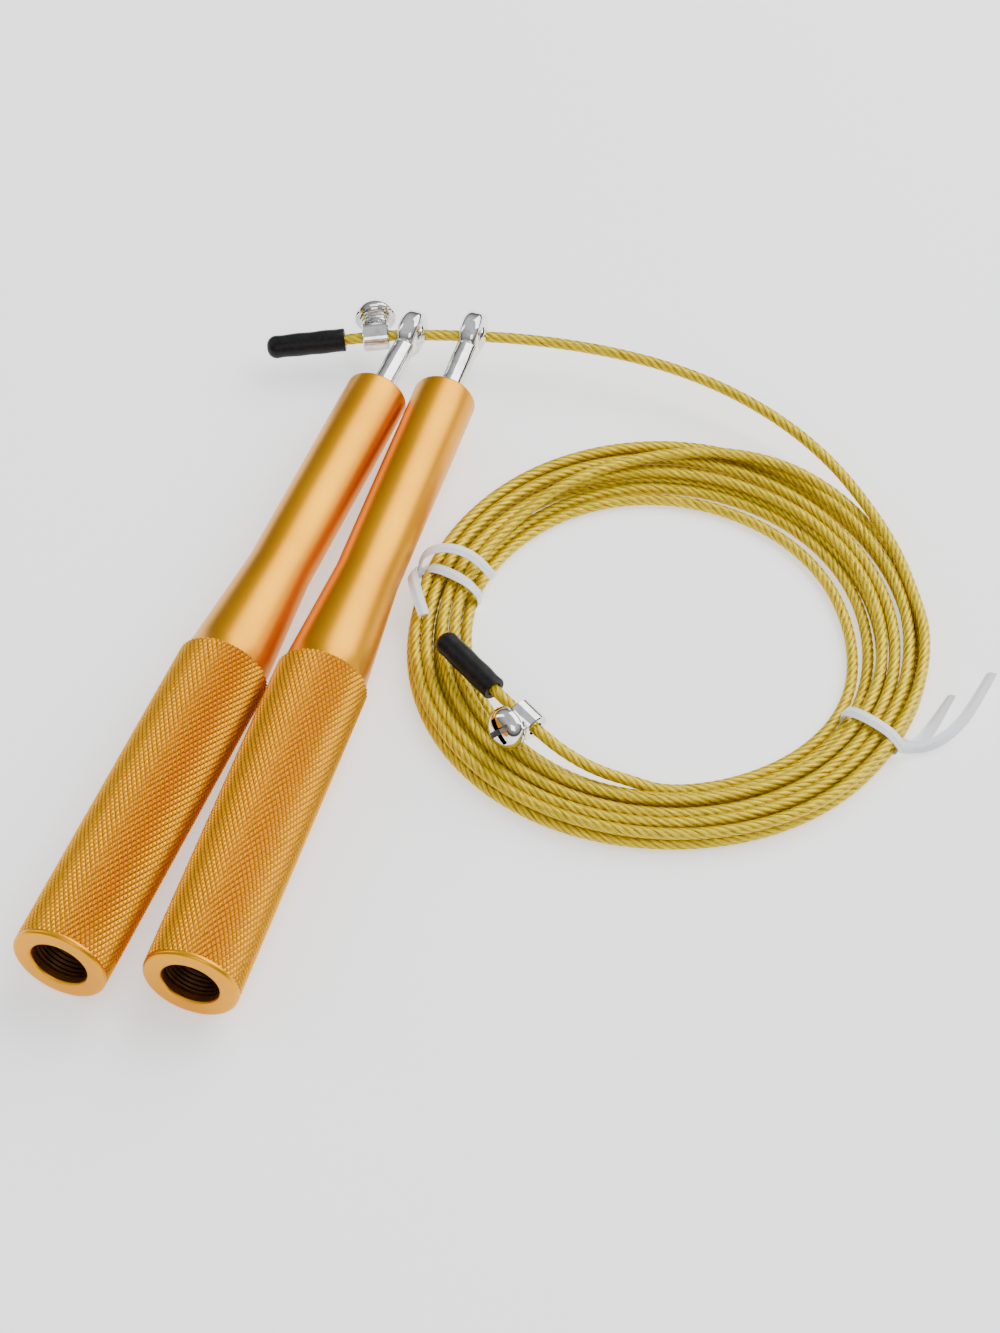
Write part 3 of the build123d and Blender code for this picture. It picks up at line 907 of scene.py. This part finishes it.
for side in "ab":
    eye, along = eye_and_axis(side)
    forging = forged_eye(f"forged_eye_{side}", Lathe(eye - along * EYE_STATION * MM, along))
    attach(forging, f"eye_{side}")
    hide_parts(f"eye_shaft_{side}")

CAP_OVERHANG = 1.9           # from the cable's end to the cap's tip
for side, route in (("a", RUN_ROUTE), ("b", TAIL_ROUTE[::-1])):
    inward = -Vector(joint_named(f"cap_{side}_pull")["axis"]).normalized()
    tip = Vector(route[0]) * MM - inward * CAP_OVERHANG * MM
    cap = end_cap(f"rubber_cap_{side}", Lathe(tip, inward))
    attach(cap, f"cap_{side}")
    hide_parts(f"end_cap_{side}")


# ---------------------------------------------------------------- ties
RIBBON_WIDTH = 2.5
RIBBON_EDGE = 0.16           # half thickness at the edges
# Section in widths and edge half thicknesses: flat, and thicker over the wire in the middle.
RIBBON_SECTION = [
    (-0.5, -0.6), (-0.5, 0.6), (-0.42, 1.0), (-0.22, 1.05), (-0.10, 2.3), (0.10, 2.3),
    (0.22, 1.05), (0.42, 1.0), (0.5, 0.6), (0.5, -0.6), (0.42, -1.0), (0.22, -1.05),
    (0.10, -2.3), (-0.10, -2.3), (-0.22, -1.05), (-0.42, -1.0),
]


def add_ribbon(shell, controls):
    """Flat band along (point, facing) controls: facing is the way its flat side looks."""
    line = evenly(smooth_line("ribbon_line", [point for point, _ in controls], 16), 0.5 * MM)
    directions = [Vector(facing).normalized() / MM for _, facing in controls]
    facings = smooth_line("ribbon_facing", directions, 16)
    rings = []
    for i, point in enumerate(line):
        tangent = (line[min(i + 1, len(line) - 1)] - line[max(i - 1, 0)]).normalized()
        facing = facings[min(round(i / (len(line) - 1) * (len(facings) - 1)), len(facings) - 1)]
        facing = (facing - tangent * facing.dot(tangent)).normalized()
        across = tangent.cross(facing)
        half = RIBBON_EDGE * MM
        wide = across * RIBBON_WIDTH * MM
        rings.append([point + wide * x + facing * y * half for x, y in RIBBON_SECTION])
    columns = len(RIBBON_SECTION)
    first = shell.grid(rings, lambda c: 0.35 * c, lambda r: 0.5 * r)
    shell.cap(first, columns, flip=True)
    shell.cap(first + (len(rings) - 1) * columns, columns, flip=False)


def polar_point(polar, radius, height, shift=0.0):
    """Point at a polar angle round the coil, moved sideways along the turns by shift."""
    angle = radians(polar)
    x = COIL_CENTRE[0] + radius * cos(angle) - shift * sin(angle)
    y = COIL_CENTRE[1] + radius * sin(angle) + shift * cos(angle)
    return (x, y, height)


def facing_at(polar, outward, upward):
    angle = radians(polar)
    return Vector((outward * cos(angle), outward * sin(angle), upward))


def loop_controls(polar, inner, outer, top, shift_in, shift_out):
    """The band round the bundle, starting and ending at the outside. Each row of the shape is
    radius, height, how far the flat side looks outwards and upwards, and the part of the shift."""
    shape = [
        (outer, 3.4, 1.0, 0.0, 0.9), (outer - 0.2, 0.9, 1.0, -0.6, 0.9), (outer - 2.6, 0.4, 0.0, -1.0, 0.7),
        ((inner + outer) / 2, 0.4, 0.0, -1.0, 0.4), (inner + 2.4, 0.4, 0.0, -1.0, 0.1),
        (inner + 0.1, 0.9, -1.0, -0.6, 0.0), (inner - 0.2, 3.6, -1.0, 0.0, 0.0),
        (inner + 0.9, top - 1.0, -0.8, 0.9, 0.1),
        (inner + 4.0, top + 0.2, 0.0, 1.0, 0.4), (outer - 4.4, top + 0.1, 0.1, 1.0, 0.8),
        (outer - 1.2, top - 1.2, 0.9, 0.8, 1.0), (outer + 0.3, top - 3.2, 1.0, 0.1, 1.0),
    ]
    return [(polar_point(polar, r, z, shift_in + (shift_out - shift_in) * part), facing_at(polar, o, u))
            for r, z, o, u, part in shape]


def tie_piece(name, strips):
    shell = Shell()
    for controls in strips:
        add_ribbon(shell, controls)
    piece = shell.piece(name, [RIBBON], sharp=60.0)
    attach(piece, "cable")
    return piece


UPPER_TIE, LOWER_TIE = TIES_AT
upper_tie = tie_piece("twist_tie_upper", [
    loop_controls(UPPER_TIE, 41.2, 55.0, 6.2, 2.6, -0.6),
    [   # free end laid back over the bundle to its inside
        (polar_point(UPPER_TIE, 55.6, 3.2, 0.2), facing_at(UPPER_TIE, 1, 0.2)),
        (polar_point(UPPER_TIE, 56.2, 5.2, -1.2), facing_at(UPPER_TIE, 0.9, 0.6)),
        (polar_point(UPPER_TIE, 54.8, 7.6, -2.9), facing_at(UPPER_TIE, 0.3, 1.0)),
        (polar_point(UPPER_TIE, 51.0, 8.6, -4.4), facing_at(UPPER_TIE, -0.1, 1.0)),
        (polar_point(UPPER_TIE, 46.6, 8.3, -4.6), facing_at(UPPER_TIE, -0.3, 1.0)),
        (polar_point(UPPER_TIE, 42.6, 6.8, -3.8), facing_at(UPPER_TIE, -0.6, 1.0)),
        (polar_point(UPPER_TIE, 39.9, 4.6, -2.8), facing_at(UPPER_TIE, -0.8, 0.8)),
    ],
    [   # free end hanging along the outer turns
        (polar_point(UPPER_TIE, 55.4, 2.6, -0.6), facing_at(UPPER_TIE, 1, 0)),
        (polar_point(UPPER_TIE, 56.6, 4.2, 0.8), facing_at(UPPER_TIE, 1, 0.3)),
        (polar_point(UPPER_TIE, 56.2, 6.6, 3.2), facing_at(UPPER_TIE, 0.6, 0.8)),
        (polar_point(UPPER_TIE, 54.4, 7.9, 6.8), facing_at(UPPER_TIE, 0.2, 1.0)),
        (polar_point(UPPER_TIE, 52.0, 7.5, 10.6), facing_at(UPPER_TIE, 0.0, 1.0)),
        (polar_point(UPPER_TIE, 49.8, 6.6, 13.4), facing_at(UPPER_TIE, -0.1, 1.0)),
    ],
])
lower_tie = tie_piece("twist_tie_lower", [
    loop_controls(LOWER_TIE, 41.2, 55.2, 6.2, 0.6, -0.8),
    [   # free end pointing away from the coil
        (polar_point(LOWER_TIE, 54.9, 3.0, -0.8), facing_at(LOWER_TIE, 1, 0)),
        (polar_point(LOWER_TIE, 56.4, 1.7, 0.2), facing_at(LOWER_TIE, 0.9, 0.5)),
        (polar_point(LOWER_TIE, 57.6, 1.5, 3.0), facing_at(LOWER_TIE, 0.3, 1.0)),
        (polar_point(LOWER_TIE, 58.2, 2.1, 7.4), facing_at(LOWER_TIE, -0.3, 1.0)),
        (polar_point(LOWER_TIE, 58.4, 3.2, 11.8), facing_at(LOWER_TIE, -0.6, 0.9)),
        (polar_point(LOWER_TIE, 58.6, 4.2, 15.8), facing_at(LOWER_TIE, -0.7, 0.8)),
    ],
    [   # the longer free end beside it
        (polar_point(LOWER_TIE, 54.9, 2.4, 0.4), facing_at(LOWER_TIE, 1, 0)),
        (polar_point(LOWER_TIE, 57.2, 1.3, 1.4), facing_at(LOWER_TIE, 0.7, 0.7)),
        (polar_point(LOWER_TIE, 60.4, 1.3, 4.6), facing_at(LOWER_TIE, 0.2, 1.0)),
        (polar_point(LOWER_TIE, 62.6, 1.9, 9.8), facing_at(LOWER_TIE, -0.2, 1.0)),
        (polar_point(LOWER_TIE, 63.4, 2.9, 16.2), facing_at(LOWER_TIE, -0.4, 1.0)),
        (polar_point(LOWER_TIE, 63.2, 4.2, 25.4), facing_at(LOWER_TIE, -0.5, 0.9)),
    ],
])
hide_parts("tie_upper")
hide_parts("tie_lower")

# ---------------------------------------------------------------- CAD pieces that stay
KEPT_LOOKS = {
    "swivel_ball": NICKEL,
    "clamp_collar": NICKEL,
    "nut_insert": NYLON,
}
for node, piece in frame["nodes"].items():
    look = next((look for start, look in KEPT_LOOKS.items() if node.startswith(start)), STEEL)
    for material_slot in piece.material_slots:
        material_slot.material = look

# ---------------------------------------------------------------- floor
FLOOR_HALF = 20.0
FLOOR_DROP = 0.00005         # keeps the floor just under what lies on it
floor_mesh = bpy.data.meshes.new("floor")
floor_mesh.from_pydata(
    [(x * FLOOR_HALF, y * FLOOR_HALF, 0) for x, y in ((-1, -1), (1, -1), (1, 1), (-1, 1))],
    [], [(0, 1, 2, 3)])
floor_mesh.materials.append(pale_floor("pale_floor"))
floor = add_object("floor", floor_mesh)
floor.location.z = -FLOOR_DROP
